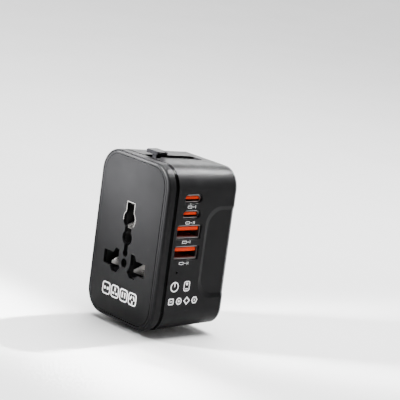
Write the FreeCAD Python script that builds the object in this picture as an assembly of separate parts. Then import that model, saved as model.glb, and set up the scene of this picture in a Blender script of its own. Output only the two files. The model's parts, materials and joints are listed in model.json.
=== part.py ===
import FreeCAD, Part
import math
import os

# Universal travel adapter: a rounded block with a multi-standard socket on its front, two sliding plugs
# on its ends, a flip-out two-pin plug and a flip-out earth pin in its rear, and a charger with four ports
# on its right side.
#
# Every part is drawn with x from the middle (positive towards the charging ports), y from the front face
# towards the rear, and z from mid-height upwards. save() then moves it to the row's frame, whose origin is
# at the centre of the bottom of the whole object. Lengths are in millimetres.

V = FreeCAD.Vector

# Outside of the casing, which tapers towards the rear
FRONT_WIDTH = 48.7
FRONT_HEIGHT = 74.6
FRONT_CORNER_R = 10.6
REAR_WIDTH = 46.0
REAR_HEIGHT = 71.6
REAR_CORNER_R = 9.2
DEPTH = 39.5
SIDE_WALL = 1.8
END_WALL = 2.0
FRONT_HALF_W = FRONT_WIDTH / 2
FRONT_HALF_H = FRONT_HEIGHT / 2
REAR_HALF_W = REAR_WIDTH / 2
REAR_HALF_H = REAR_HEIGHT / 2
INNER_W = REAR_HALF_W - SIDE_WALL
INNER_H = REAR_HALF_H - END_WALL
INNER_R = REAR_CORNER_R - SIDE_WALL

# Stations from the front face to the rear
PLATE_T = 1.5
BEZEL_FRONT = 0.15
BEZEL_REAR = 4.2
SPIGOT_REAR = 7.6
SHELL_FRONT = 6.0
SHELL_REAR = DEPTH - 1.05
COVER_LIP_FRONT = DEPTH - 0.8
COVER_INNER = DEPTH - 1.6
COVER_SPIGOT_FRONT = DEPTH - 2.4

# Lean of the side and end walls, in degrees
TAPER_RUN = SHELL_REAR - SHELL_FRONT
SIDE_LEAN = math.degrees(math.atan2(FRONT_HALF_W - REAR_HALF_W, TAPER_RUN))
END_LEAN = math.degrees(math.atan2(FRONT_HALF_H - REAR_HALF_H, TAPER_RUN))

# Face plate, the seam around it and the crease in the rim outside it
PLATE_W = 21.4
PLATE_H = 35.6
PLATE_R = 8.6
SEAM = 0.2
RING_RECESS = 0.2
CREASE_OUT = 1.25
CREASE_W = 0.3
CREASE_DEPTH = 0.5
BEZEL_EDGE_R = 1.2

# Grip recess in each side
GRIP_Z = (-20.0, 17.8)
GRIP_FRONT = 25.6
GRIP_DEPTH = 0.7
GRIP_RAMP = 1.9
GRIP_R = 8.0

# Slider knobs, and the channels that they run in
SLIDE_TRAVEL = 18.0
CHANNEL_W = 4.0
CHANNEL_REAR = 34.4
CHANNEL_DEPTH = 1.0
STEM_W = 1.3
STEM_Y = (9.3, 11.9)
STEM_GAP = 0.3
CAP_W = 4.2
CAP_Y = (7.4, 13.7)
CAP_BOTTOM = FRONT_HALF_H + 1.1
KNOB_RISE = 2.7
CAP_TOP = FRONT_HALF_H + KNOB_RISE
CAP_CORNER_R = 1.0
CAP_EDGE = 0.5
FOOT_W = 2.6
FOOT_GROW = 0.6
FOOT_T = 1.3
CARRIAGE_FRONT = 8.2
CARRIAGE_REAR = 18.7
PIN_SEAT_FRONT = CARRIAGE_FRONT + 3.0

# Socket holes in the front, for the live pair and the earth
LN_Z = -10.8
LN_HOLE = [(4.3, -5.6), (6.9, -5.6), (8.3, -7.7), (14.9, -7.9), (14.9, -14.1),
           (9.9, -14.2), (8.3, -16.3), (5.0, -16.3), (2.7, -14.0), (4.5, -10.5)]
EARTH_TOP_W = 2.65
EARTH_TOP_Z = (8.2, 16.5)
EARTH_BIG = (8.9, 4.15)
EARTH_SMALL = (0.7, 3.4)
EARTH_WAIST_W = 2.3
EARTH_NECK_W = 1.3
EARTH_LOBE = (-6.2, 1.7)
OVAL_W = 1.9
OVAL_H = 2.05
POCKET_REAR = 18.6
TOWER_REAR = 19.6

# Charging ports in the right side: middle along y, middle along z
USB_C_AT = [(15.0, 23.5), (15.0, 16.5)]
USB_A_AT = [(14.8, 8.7), (14.8, -0.6)]
USB_C_SHELL = (4.5, 1.625)
USB_A_SHELL = (6.55, 2.85)
PORT_GAP = 0.25
PORT_CHAMFER = 0.3
SHELL_SHEET = 0.3
PORT_FACE_X = 22.7
BOARD_X = (5.8, 7.0)
BOARD_Y = (6.2, 23.4)
BOARD_Z = (-3.8, 24.9)
USB_A_CORNER_R = 0.6
USB_A_BASE_X = 9.0
USB_A_TONGUE_Z = (0.6, 2.05)
LINER_T = 0.25
LINER_INSET = 0.35
LINER_GAP = 0.6
LED_AT = (10.5, -9.2)
LED_R = 0.55
LED_FRONT_X = 17.9

# Rear recesses: where the flip plug, fingers and pins go
WELL_W = 17.4
WELL_Z = (-4.8, 22.7)
WELL_FLOOR = DEPTH - 14.4
WELL_WALL = 1.2
RAIL_END_Z = 1.0
POCKET_W = 21.4
POCKET_Z = (-17.4, 1.0)
POCKET_FLOOR = DEPTH - 13.5
TONGUE_W = 6.4
PIN_CHANNEL_W = 12.4
PIN_CHANNEL_Z = -18.4
PIN_CHANNEL_FLOOR = DEPTH - 9.7
RIB_X = (15.5, 19.5)
RIB_Z = (-7.0, -9.5, -12.0)
RIB_HALF_T = 0.4
RIB_RISE = 0.6
EARTH_SLOT_W = 2.3
EARTH_SLOT_Z = (-31.3, -1.5)
EARTH_SLOT_FLOOR = DEPTH - 8.7
EARTH_BOX_W = 3.6

# Two-pin flip plug (4 mm round pins, 19 mm long and 19 mm apart)
EU_HINGE = (DEPTH - 3.0, 18.7)
EU_HINGE_R = 1.0
EU_TOP_W = 12.3
EU_WIDE_W = 16.5
EU_EAR_W = 16.4
EU_THICK = 13.4
EU_NEAR_Z = -1.8
EU_EAR_Z = (16.2, 20.2)
EU_EAR_DEPTH = 8.0
EU_LUG_W = 2.2
EU_LUG_RISE = 1.1
EU_BASE_T = 2.0
EU_NOTCH_W = 6.8
EU_NOTCH_R = 17.0
EU_PIN_X = 9.5
EU_PIN_Y = DEPTH - 6.7
EU_PIN_R = 2.0
EU_CORE_R = 1.3
EU_SLEEVE_R = 1.8
EU_ROOT = 6.0
EU_TIP_R = 1.4
EU_PIN_LENGTH = 19.0
EU_SLEEVE_LENGTH = 10.0

# Flip-out earth pin (8 x 4 mm section)
EARTH_HINGE = (DEPTH - 3.0, -4.8)
EARTH_HINGE_R = 0.8
EARTH_LENGTH = 25.7
EARTH_ABOVE = 2.6
EARTH_BELOW = 5.4
EARTH_HALF_T = 2.0
EARTH_TAPER = (1.0, 2.0)
EARTH_NOTCH_R = 2.0
EARTH_NOTCH_UP = 4.5

# Three-pin plug's sliding pair (6.35 x 4 mm section)
UK_PIN_AT = (11.1, -28.4)
UK_PIN_HALF = (3.175, 2.0)
UK_SLOT_HALF = (3.5, 2.25)
PIN_TIP_Y = DEPTH - 0.4
UK_TIP_BEVEL = 0.9
UK_ARM_X = (7.0, 14.5)
UK_ARM_Z = (-33.5, -24.6)
UK_BRIDGE_REAR = 11.5

# Two-blade plug's sliding pair (6.35 x 1.5 mm section), each blade on a swivel
US_BLADE_AT = (6.35, 29.35)
US_BLADE_HALF = (0.75, 3.175)
US_SWING = 30.0
US_BARREL_R = 3.5
US_BARREL_FRONT = 12.0
US_SLOT_GAP = 0.2
US_CARRIAGE_W = 10.6
US_CARRIAGE_Z = (25.5, 33.4)

# Insulating block behind the face plate, and the spring leaves in it
CARRIER_W = 15.9
CARRIER_H = 18.5
LEAF_T = 0.5
LEAF_PINCH_Y = 8.0
LEAF_LIP_Y = 2.7
LEAF_LIP_FLARE = 3.2
LEAF_ROOT = 4.0
LIVE_CONTACT_X = 8.2
FLANGE_W = 16.9
FLANGE_H = 20.0
FLANGE_T = 1.2
EARTH_TOWER = (5.4, (-8.8, 18.0))
LIVE_TOWER = (16.2, (-17.6, -4.1))
LIVE_POCKET = ((2.7, 15.4), (-16.7, -5.2))
EARTH_POCKET = (4.5, (-3.0, 17.0))
LOBE_POCKET = (1.9, (-8.1, -2.9))

# Fuse: middle in y and z, radii of barrel, cap and clip, and where the cap lies along x
FUSE_AT = (11.4, -20.6)
FUSE_BARREL_R = 2.2
FUSE_CAP_R = 2.4
FUSE_CLIP_R = 2.7
FUSE_CAP_X = (6.0, 9.6)
FUSE_CLIP_X = (6.8, 8.8)

# Live busbars
BUSBAR_X = (7.8, 9.4)
BUSBAR_T = 0.6
BUSBAR_FOOT_Z = -23.6

# Running clearance of turning and sliding fits
RUN_GAP = 0.05
SLIDE_GAP = 0.3

# Fastening between bezel and main shell
SCREW_X = 17.3
SCREW_Z = 28.5
BOSS_R = 2.0
BOSS_REAR = 18.0
SCREW_HEAD_R = 1.7
SCREW_HEAD_T = 1.3
SCREW_R = 0.95


def box(x, y, z):
    """Block between two limits along each axis."""
    size = [limits[1] - limits[0] for limits in (x, y, z)]
    return Part.makeBox(size[0], size[1], size[2], V(x[0], y[0], z[0]))


def rod_x(y, z, radius, x):
    return Part.makeCylinder(radius, x[1] - x[0], V(x[0], y, z), V(1, 0, 0))


def rod_y(x, z, radius, y):
    return Part.makeCylinder(radius, y[1] - y[0], V(x, y[0], z), V(0, 1, 0))


def rod_z(x, y, radius, z):
    return Part.makeCylinder(radius, z[1] - z[0], V(x, y, z[0]), V(0, 0, 1))


def edges_along(shape, axis):
    """Straight edges that run along the axis."""
    found = []
    for edge in shape.Edges:
        tangent = edge.tangentAt(edge.FirstParameter)
        if isinstance(edge.Curve, Part.Line) and abs(tangent.dot(axis)) > 0.999:
            found.append(edge)
    return found


def slab(half_w, half_h, radius, y, x_mid=0.0, z_mid=0.0):
    """Rounded rectangle seen from the front, between two y stations."""
    block = box((x_mid - half_w, x_mid + half_w), y, (z_mid - half_h, z_mid + half_h))
    return block.makeFillet(radius, edges_along(block, V(0, 1, 0)))


def prism_y(points, y):
    """Outline in x and z, extruded between two y stations."""
    corners = [V(x, y[0], z) for x, z in points]
    face = Part.Face(Part.makePolygon(corners + corners[:1]))
    return face.extrude(V(0, y[1] - y[0], 0))


def prism_x(points, x):
    """Outline in y and z, extruded between two x stations."""
    corners = [V(x[0], y, z) for y, z in points]
    face = Part.Face(Part.makePolygon(corners + corners[:1]))
    return face.extrude(V(x[1] - x[0], 0, 0))


def prism_z(points, z):
    """Outline in x and y, extruded between two z stations."""
    corners = [V(x, y, z[0]) for x, y in points]
    face = Part.Face(Part.makePolygon(corners + corners[:1]))
    return face.extrude(V(0, 0, z[1] - z[0]))


def join(shapes):
    whole = shapes[0].multiFuse(shapes[1:])
    return whole.removeSplitter()


def mirror_x(shape):
    return shape.mirror(V(0, 0, 0), V(1, 0, 0))


def both_sides(shape):
    """The shape and its mirror image across the middle plane."""
    return [shape, mirror_x(shape)]


def bent_strip(points, thickness, z):
    """Sheet-metal strip that follows points in x and y, standing between two z stations."""
    pieces = []
    for (x0, y0), (x1, y1) in zip(points, points[1:]):
        length = math.hypot(x1 - x0, y1 - y0)
        across = ((y0 - y1) / length * thickness / 2, (x1 - x0) / length * thickness / 2)
        outline = [
            (x0 + across[0], y0 + across[1]),
            (x1 + across[0], y1 + across[1]),
            (x1 - across[0], y1 - across[1]),
            (x0 - across[0], y0 - across[1]),
        ]
        pieces.append(prism_z(outline, z))
    for x, y in points[1:-1]:
        pieces.append(rod_z(x, y, thickness / 2, z))
    return join(pieces)


def save(name, solids):
    """Write one node, moved from the drawing position into the row's frame."""
    shape = solids[0] if len(solids) == 1 else Part.makeCompound(solids)
    shape.translate(V(0, -DEPTH / 2, CAP_TOP))
    if not shape.isValid():
        raise ValueError(name + " isn't a valid solid")
    shape.exportStep("parts/" + name + ".step")


# Casing


def tapered(front_half, rear_half, front_r, rear_r, y):
    """Rounded block that tapers from one y station to another."""
    wires = []
    for (half_w, half_h), radius, at in ((front_half, front_r, y[0]), (rear_half, rear_r, y[1])):
        thin = slab(half_w, half_h, radius, (at, at + 1))
        front = min(thin.Faces, key=lambda face: face.CenterOfMass.y)
        wires.append(front.OuterWire)
    return Part.makeLoft(wires, True, True)


def lean_side(shape):
    """Turn a tool that was drawn on an upright right wall into the leaning one."""
    shape.rotate(V(FRONT_HALF_W, SHELL_FRONT, 0), V(0, 0, 1), SIDE_LEAN)
    return shape


def lean_end(shape):
    """Turn a tool that was drawn on a level top end into the leaning one."""
    shape.rotate(V(0, SHELL_FRONT, FRONT_HALF_H), V(1, 0, 0), -END_LEAN)
    return shape


def grip_outline(x, grow):
    """Outline of the grip recess at one x station."""
    block = box((x, x + 1), (GRIP_FRONT - grow, DEPTH + 20), (GRIP_Z[0] - grow, GRIP_Z[1] + grow))
    block = block.makeFillet(GRIP_R, edges_along(block, V(1, 0, 0)))
    inner_face = min(block.Faces, key=lambda face: face.CenterOfMass.x)
    return inner_face.OuterWire


def cut_grips(shape):
    wires = [
        grip_outline(FRONT_HALF_W - GRIP_DEPTH, 0.0),
        grip_outline(FRONT_HALF_W + GRIP_DEPTH, 2 * GRIP_RAMP),
    ]
    tool = lean_side(Part.makeLoft(wires, True, True))
    return shape.cut(both_sides(tool))


def screw_places():
    return [(x, z) for x in (-SCREW_X, SCREW_X) for z in (-SCREW_Z, SCREW_Z)]


def face_plate():
    """Flat front plate with the socket's holes."""
    plate = slab(PLATE_W, PLATE_H, PLATE_R, (0, PLATE_T))
    rim = [e for e in plate.Edges if e.BoundBox.YMax < 1e-6]
    plate = plate.makeChamfer(0.15, rim)
    through = (-1, PLATE_T + 1)
    earth = [
        box((-EARTH_TOP_W, EARTH_TOP_W), through, EARTH_TOP_Z),
        box((-EARTH_WAIST_W, EARTH_WAIST_W), through, (EARTH_SMALL[0], EARTH_BIG[0])),
        box((-EARTH_NECK_W, EARTH_NECK_W), through, (EARTH_LOBE[0], EARTH_SMALL[0])),
    ]
    for z_mid, radius in (EARTH_BIG, EARTH_SMALL, EARTH_LOBE):
        earth.append(rod_y(0, z_mid, radius, through))
    oval = slab(OVAL_W, OVAL_H, OVAL_W - 0.05, through, z_mid=LN_Z)
    live = both_sides(prism_y(LN_HOLE, through))
    return plate.cut([join(earth), oval] + live)


def crease():
    """Ring-shaped tool for the crease in the bezel's rim."""
    rings = []
    for out in (CREASE_OUT - CREASE_W / 2, CREASE_OUT + CREASE_W / 2):
        y = (BEZEL_FRONT - 1, BEZEL_FRONT + CREASE_DEPTH)
        rings.append(slab(PLATE_W + out, PLATE_H + out, PLATE_R + out, y))
    return rings[1].cut(rings[0])


def front_bezel():
    """Front frame: rounded outer edge, creased rim, seat for the face plate and a spigot for the shell."""
    frame = slab(FRONT_HALF_W, FRONT_HALF_H, FRONT_CORNER_R, (BEZEL_FRONT, BEZEL_REAR))
    front_edges = [e for e in frame.Edges if e.BoundBox.YMax < BEZEL_FRONT + 1e-6]
    frame = frame.makeFillet(BEZEL_EDGE_R, front_edges)
    spigot = slab(INNER_W - 0.1, INNER_H - 0.1, INNER_R - 0.1, (BEZEL_REAR - 0.5, SPIGOT_REAR))
    frame = join([frame, spigot])
    seat = slab(PLATE_W + SEAM, PLATE_H + SEAM, PLATE_R + SEAM, (-1, PLATE_T))
    hollow = slab(INNER_W - 1.3, INNER_H - 1.3, INNER_R - 1.3, (BEZEL_REAR, SPIGOT_REAR + 1))
    window_w = CARRIER_W + 0.1
    window_h = CARRIER_H + 0.1
    window = box((-window_w, window_w), (0, BEZEL_REAR + 1), (-window_h, window_h))
    frame = frame.cut([seat, hollow, window, crease()])
    for x, z in screw_places():
        frame = frame.cut(rod_y(x, z, SCREW_HEAD_R + 0.2, (0, PLATE_T + SCREW_HEAD_T + 0.1)))
        frame = frame.cut(rod_y(x, z, SCREW_R + 0.2, (0, BEZEL_REAR + 1)))
        frame = frame.cut(rod_y(x, z, BOSS_R + 0.15, (BEZEL_REAR, SPIGOT_REAR + 1)))
    return frame


def accent_ring():
    """Glossy trim ring in the groove between bezel and main shell."""
    outer = slab(
        FRONT_HALF_W - RING_RECESS,
        FRONT_HALF_H - RING_RECESS,
        FRONT_CORNER_R - RING_RECESS,
        (BEZEL_REAR, SHELL_FRONT),
    )
    inner = slab(INNER_W - 0.1, INNER_H - 0.1, INNER_R - 0.1, (BEZEL_REAR - 1, SHELL_FRONT + 1))
    return outer.cut(inner)


def knob_channel():
    """Channel and stem slot that are cut into the top end of the main shell."""
    channel = box(
        (-CHANNEL_W, CHANNEL_W),
        (SHELL_FRONT - 1, CHANNEL_REAR),
        (FRONT_HALF_H - CHANNEL_DEPTH, FRONT_HALF_H + 2),
    )
    rear_edges = [e for e in edges_along(channel, V(0, 0, 1)) if e.BoundBox.YMin > CHANNEL_REAR - 0.1]
    channel = lean_end(channel.makeFillet(2.0, rear_edges))
    slot = box(
        (-STEM_W - STEM_GAP, STEM_W + STEM_GAP),
        (STEM_Y[0] - STEM_GAP, STEM_Y[1] + SLIDE_TRAVEL + STEM_GAP),
        (INNER_H - 1, FRONT_HALF_H + 1),
    )
    return join([channel, slot])


def port_opening(half_y, half_z, radius, y_mid, z_mid):
    """Opening in the right wall with a chamfered mouth."""
    y = (y_mid - half_y, y_mid + half_y)
    z = (z_mid - half_z, z_mid + half_z)
    block = box((INNER_W - 1, FRONT_HALF_W + 1), y, z)
    block = block.makeFillet(radius, edges_along(block, V(1, 0, 0)))
    wide_y = (y[0] - PORT_CHAMFER, y[1] + PORT_CHAMFER)
    wide_z = (z[0] - PORT_CHAMFER, z[1] + PORT_CHAMFER)
    depth = FRONT_HALF_W - PORT_CHAMFER
    mouth = box((depth, FRONT_HALF_W + 1), wide_y, wide_z)
    mouth = mouth.makeFillet(radius + PORT_CHAMFER, edges_along(mouth, V(1, 0, 0)))
    inner_edges = [e for e in mouth.Edges if e.BoundBox.XMax < depth + 1e-6]
    mouth = lean_side(mouth.makeChamfer(PORT_CHAMFER * 0.999, inner_edges))
    return join([block, mouth])


def main_shell():
    """Tube-like middle of the casing with channels, ports, grips and screw bosses."""
    front_half = (FRONT_HALF_W, FRONT_HALF_H)
    rear_half = (REAR_HALF_W, REAR_HALF_H)
    shell = tapered(front_half, rear_half, FRONT_CORNER_R, REAR_CORNER_R, (SHELL_FRONT, SHELL_REAR))
    shell = shell.cut(slab(INNER_W, INNER_H, INNER_R, (SHELL_FRONT - 1, SHELL_REAR + 1)))
    bosses = []
    for x, z in screw_places():
        bosses.append(rod_y(x, z, BOSS_R, (BEZEL_REAR, BOSS_REAR)))
        wall_x = math.copysign(INNER_W - 0.2, x)
        bosses.append(box(sorted((x, wall_x)), (SPIGOT_REAR + 0.2, BOSS_REAR), (z - 0.5, z + 0.5)))
    shell = join([shell] + bosses)
    for x, z in screw_places():
        shell = shell.cut(rod_y(x, z, SCREW_R, (BEZEL_REAR - 1, BOSS_REAR - 4)))
    shell = cut_grips(shell)
    top_channel = knob_channel()
    bottom_channel = top_channel.mirror(V(0, 0, 0), V(0, 0, 1))
    shell = shell.cut([top_channel, bottom_channel])
    for y_mid, z_mid in USB_C_AT:
        half_z = USB_C_SHELL[1] + PORT_GAP
        shell = shell.cut(port_opening(USB_C_SHELL[0] + PORT_GAP, half_z, half_z - 0.05, y_mid, z_mid))
    for y_mid, z_mid in USB_A_AT:
        half_z = USB_A_SHELL[1] + PORT_GAP
        shell = shell.cut(port_opening(USB_A_SHELL[0] + PORT_GAP, half_z, USB_A_CORNER_R, y_mid, z_mid))
    return shell.cut(rod_x(LED_AT[0], LED_AT[1], LED_R, (INNER_W - 1, FRONT_HALF_W + 1)))


def hourglass(y):
    """Slot that lets a blade turn both ways: the swept blade, for the right-hand blade."""
    x_mid, z_mid = US_BLADE_AT
    half_x = US_BLADE_HALF[0] + US_SLOT_GAP
    half_z = US_BLADE_HALF[1] + US_SLOT_GAP
    blade = box((x_mid - half_x, x_mid + half_x), y, (z_mid - half_z, z_mid + half_z))
    swept = [blade]
    for side in (-1, 1):
        turned = blade.copy()
        turned.rotate(V(x_mid, 0, z_mid), V(0, 1, 0), side * US_SWING)
        swept.append(turned)
    reach = math.hypot(half_x, half_z)
    for sign in (-1, 1):
        fan = [(x_mid, z_mid)]
        for degrees in (-US_SWING - 12, US_SWING + 12):
            angle = math.radians(degrees)
            fan.append((x_mid + 2 * reach * math.sin(angle), z_mid + sign * 2 * reach * math.cos(angle)))
        swept.append(prism_y(fan, y).common(rod_y(x_mid, z_mid, reach, y)))
    return join(swept)


def rear_openings(y):
    """All recesses of the rear face between two y stations."""
    well = box((-WELL_W, WELL_W), y, (RAIL_END_Z, WELL_Z[1]))
    pocket = box((TONGUE_W, POCKET_W), y, (POCKET_Z[0], RAIL_END_Z + 0.5))
    pocket = pocket.cut(box((WELL_W, POCKET_W + 1), y, (RAIL_END_Z, RAIL_END_Z + 1)))
    channel_mid = (TONGUE_W + PIN_CHANNEL_W) / 2
    channel = box((TONGUE_W, PIN_CHANNEL_W), y, (PIN_CHANNEL_Z, POCKET_Z[0] + 0.5))
    end = rod_y(channel_mid, PIN_CHANNEL_Z, PIN_CHANNEL_W - channel_mid, y)
    one_side = join([pocket, channel, end])
    return join([well] + both_sides(one_side))


def cover_spigot():
    """Ring on the rear cover's inner side that enters the main shell."""
    outer = slab(INNER_W - 0.1, INNER_H - 0.1, INNER_R - 0.1, (COVER_SPIGOT_FRONT, COVER_INNER))
    through = (COVER_SPIGOT_FRONT - 1, COVER_INNER + 1)
    return outer.cut(slab(INNER_W - 1.1, INNER_H - 1.1, INNER_R - 1.1, through))


def rear_cover():
    """Rear face with every plug's opening, and a spigot that enters the main shell."""
    lip = slab(REAR_HALF_W, REAR_HALF_H, REAR_CORNER_R, (COVER_LIP_FRONT, DEPTH))
    outer_edges = [e for e in lip.Edges if e.BoundBox.YMin > DEPTH - 1e-6]
    lip = lip.makeFillet(0.5, outer_edges)
    plate = slab(INNER_W - 0.1, INNER_H - 0.1, INNER_R - 0.1, (COVER_INNER, DEPTH - 0.6))
    cover = join([lip, plate, cover_spigot()])
    through = (COVER_SPIGOT_FRONT - 1, DEPTH + 1)
    x_mid, z_mid = UK_PIN_AT
    uk_slot = slab(UK_SLOT_HALF[0], UK_SLOT_HALF[1], 0.4, through, x_mid, z_mid)
    earth_slot = box((-EARTH_SLOT_W, EARTH_SLOT_W), through, EARTH_SLOT_Z)
    cover = cover.cut(rear_openings(through))
    cover = cover.cut(both_sides(uk_slot) + both_sides(hourglass(through)) + [earth_slot])
    return cut_grips(cover)


def plug_well():
    """Tub behind the rear cover that holds the flip plug and the earth pin."""
    rear = COVER_INNER
    wall = WELL_WALL
    channel_bottom = PIN_CHANNEL_Z - (PIN_CHANNEL_W - TONGUE_W) / 2 - wall
    halves = [
        (WELL_W + wall, WELL_FLOOR - wall, (WELL_Z[0] - wall, WELL_Z[1] + wall)),
        (INNER_W - 0.1, POCKET_FLOOR - wall, (POCKET_Z[0] - wall, POCKET_Z[1] + wall)),
        (PIN_CHANNEL_W + wall, PIN_CHANNEL_FLOOR - wall, (channel_bottom, POCKET_Z[0])),
        (EARTH_BOX_W, EARTH_SLOT_FLOOR - 0.9, (EARTH_SLOT_Z[0] - wall, POCKET_Z[0])),
    ]
    tub = join([box((-half_w, half_w), (front, rear), z) for half_w, front, z in halves])
    open_rear = rear + 1
    tongue = box((-TONGUE_W, TONGUE_W), (WELL_FLOOR - 1, open_rear), (WELL_Z[0] - 5, RAIL_END_Z))
    well = box((-WELL_W, WELL_W), (WELL_FLOOR, open_rear), WELL_Z).cut(tongue)
    pocket = box((PIN_CHANNEL_W, POCKET_W), (POCKET_FLOOR, open_rear), POCKET_Z)
    channel_mid = (TONGUE_W + PIN_CHANNEL_W) / 2
    channel = box((TONGUE_W, PIN_CHANNEL_W + 0.5), (PIN_CHANNEL_FLOOR, open_rear), (POCKET_Z[0], 0))
    channel_y = (PIN_CHANNEL_FLOOR, open_rear)
    channel_foot = box((TONGUE_W, PIN_CHANNEL_W), channel_y, (PIN_CHANNEL_Z, POCKET_Z[0] + 1))
    channel_end = rod_y(channel_mid, PIN_CHANNEL_Z, PIN_CHANNEL_W - channel_mid, channel_y)
    one_side = join([pocket, channel, channel_foot, channel_end])
    earth_slot = box((-EARTH_SLOT_W, EARTH_SLOT_W), (EARTH_SLOT_FLOOR, open_rear), EARTH_SLOT_Z)
    tub = tub.cut([well, earth_slot] + both_sides(one_side))
    ribs = []
    rib_y = (POCKET_FLOOR - 0.2, POCKET_FLOOR + RIB_RISE)
    for z in RIB_Z:
        ribs += both_sides(box(RIB_X, rib_y, (z - RIB_HALF_T, z + RIB_HALF_T)))
    tub = join([tub] + ribs)
    eu_axle = rod_x(EU_HINGE[0], EU_HINGE[1], EU_HINGE_R, (-INNER_W, INNER_W))
    earth_axle = rod_x(EARTH_HINGE[0], EARTH_HINGE[1], EARTH_HINGE_R, (-EARTH_BOX_W - 0.6, EARTH_BOX_W + 0.6))
    return tub.cut([eu_axle, earth_axle, cover_spigot()])


def front_screws():
    screws = []
    for x, z in screw_places():
        head = rod_y(x, z, SCREW_HEAD_R, (PLATE_T + 0.1, PLATE_T + SCREW_HEAD_T))
        cross = [
            box((x - 1.0, x + 1.0), (PLATE_T, PLATE_T + 0.8), (z - 0.2, z + 0.2)),
            box((x - 0.2, x + 0.2), (PLATE_T, PLATE_T + 0.8), (z - 1.0, z + 1.0)),
        ]
        shank = rod_y(x, z, SCREW_R - 0.01, (PLATE_T + SCREW_HEAD_T - 0.2, BOSS_REAR - 4.5))
        screws.append(join([head, shank]).cut(cross))
    return screws


# Flip plug


def eu_section():
    """Six-sided section of the flip plug, in x and y."""
    front = DEPTH - EU_THICK
    middle = DEPTH - EU_THICK / 2
    right = [(EU_TOP_W, DEPTH), (EU_WIDE_W, middle), (EU_TOP_W, front)]
    left = [(-x, y) for x, y in reversed(right)]
    return right + left


def eu_block():
    """Whole flip plug without its pins: block, hinge ears and notch."""
    block = prism_z(eu_section(), (EU_NEAR_Z, EU_EAR_Z[0] + 0.01))
    ears = box((-EU_EAR_W, EU_EAR_W), (DEPTH - EU_EAR_DEPTH, DEPTH), EU_EAR_Z)
    lug_z = (EU_EAR_Z[1] - 0.5, EU_EAR_Z[1] + EU_LUG_RISE)
    lug = box((-EU_LUG_W, EU_LUG_W), (DEPTH - 3.0, DEPTH - 1.0), lug_z)
    whole = join([block, ears, lug])
    notch = box((-EU_NOTCH_W, EU_NOTCH_W), (0, DEPTH + 1), (EU_NEAR_Z - 1, EU_HINGE[1]))
    notch = notch.cut(rod_x(EU_HINGE[0], EU_HINGE[1], EU_NOTCH_R, (-INNER_W, INNER_W)))
    axle = rod_x(EU_HINGE[0], EU_HINGE[1], EU_HINGE_R + RUN_GAP, (-INNER_W, INNER_W))
    return whole.cut([notch, axle])


def eu_plug_parts():
    """Flip plug's body and the cover that closes its inner side."""
    block = eu_block()
    split = DEPTH - EU_THICK + EU_BASE_T
    room = box((-INNER_W, INNER_W), (split, DEPTH + 1), (-INNER_H, INNER_H))
    body = block.common(room)
    base = block.cut(room)
    for x in (-EU_PIN_X, EU_PIN_X):
        body = body.cut(rod_z(x, EU_PIN_Y, EU_SLEEVE_R, (EU_NEAR_Z - 1, EU_NEAR_Z + EU_ROOT)))
    return body, base


def eu_pins():
    """Metal pins with rounded tips, and the insulating sleeves around their near half."""
    tip_z = EU_NEAR_Z - EU_PIN_LENGTH
    sleeve_end = EU_NEAR_Z - EU_SLEEVE_LENGTH
    pins = []
    sleeves = []
    for x in (-EU_PIN_X, EU_PIN_X):
        tip = rod_z(x, EU_PIN_Y, EU_PIN_R, (tip_z, sleeve_end))
        tip = tip.makeFillet(EU_TIP_R, [e for e in tip.Edges if e.BoundBox.ZMax < tip_z + 1e-6])
        core = rod_z(x, EU_PIN_Y, EU_CORE_R, (sleeve_end - 0.1, EU_NEAR_Z + EU_ROOT))
        pins.append(join([tip, core]))
        sleeve = rod_z(x, EU_PIN_Y, EU_SLEEVE_R, (sleeve_end, EU_NEAR_Z + EU_ROOT))
        sleeves.append(sleeve.cut(rod_z(x, EU_PIN_Y, EU_CORE_R, (sleeve_end - 1, EU_NEAR_Z + EU_ROOT + 1))))
    return pins, sleeves


def eu_hinge_pin():
    return rod_x(EU_HINGE[0], EU_HINGE[1], EU_HINGE_R, (-WELL_W - WELL_WALL, WELL_W + WELL_WALL))


# Flip-out earth pin


def uk_earth_pin():
    """Flat pin folded into its slot, with a rounded pivot end, tapered tip and fingernail notch."""
    y_axis, z_axis = EARTH_HINGE
    top = y_axis + EARTH_ABOVE
    bottom = y_axis - EARTH_BELOW
    tip = z_axis - EARTH_LENGTH
    taper_y, taper_z = EARTH_TAPER
    outline = [
        (top, z_axis),
        (top, tip + taper_z),
        (top - taper_y, tip),
        (bottom + taper_y, tip),
        (bottom, tip + taper_z),
        (bottom, z_axis - 1.0),
        (y_axis - EARTH_ABOVE, z_axis + 1.0),
    ]
    half_t = (-EARTH_HALF_T, EARTH_HALF_T)
    pin = join([prism_x(outline, half_t), rod_x(y_axis, z_axis, EARTH_ABOVE, half_t)])
    corners = [e for e in edges_along(pin, V(0, 0, 1)) if e.Length > 10]
    pin = pin.makeFillet(0.3, corners)
    notch = rod_x(top + 1.2, tip + EARTH_NOTCH_UP, EARTH_NOTCH_R, half_t)
    bore = rod_x(y_axis, z_axis, EARTH_HINGE_R + RUN_GAP, half_t)
    return pin.cut([notch, bore])


def earth_hinge_pin():
    return rod_x(EARTH_HINGE[0], EARTH_HINGE[1], EARTH_HINGE_R, (-EARTH_BOX_W - 0.5, EARTH_BOX_W + 0.5))


# Sliding plugs


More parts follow.
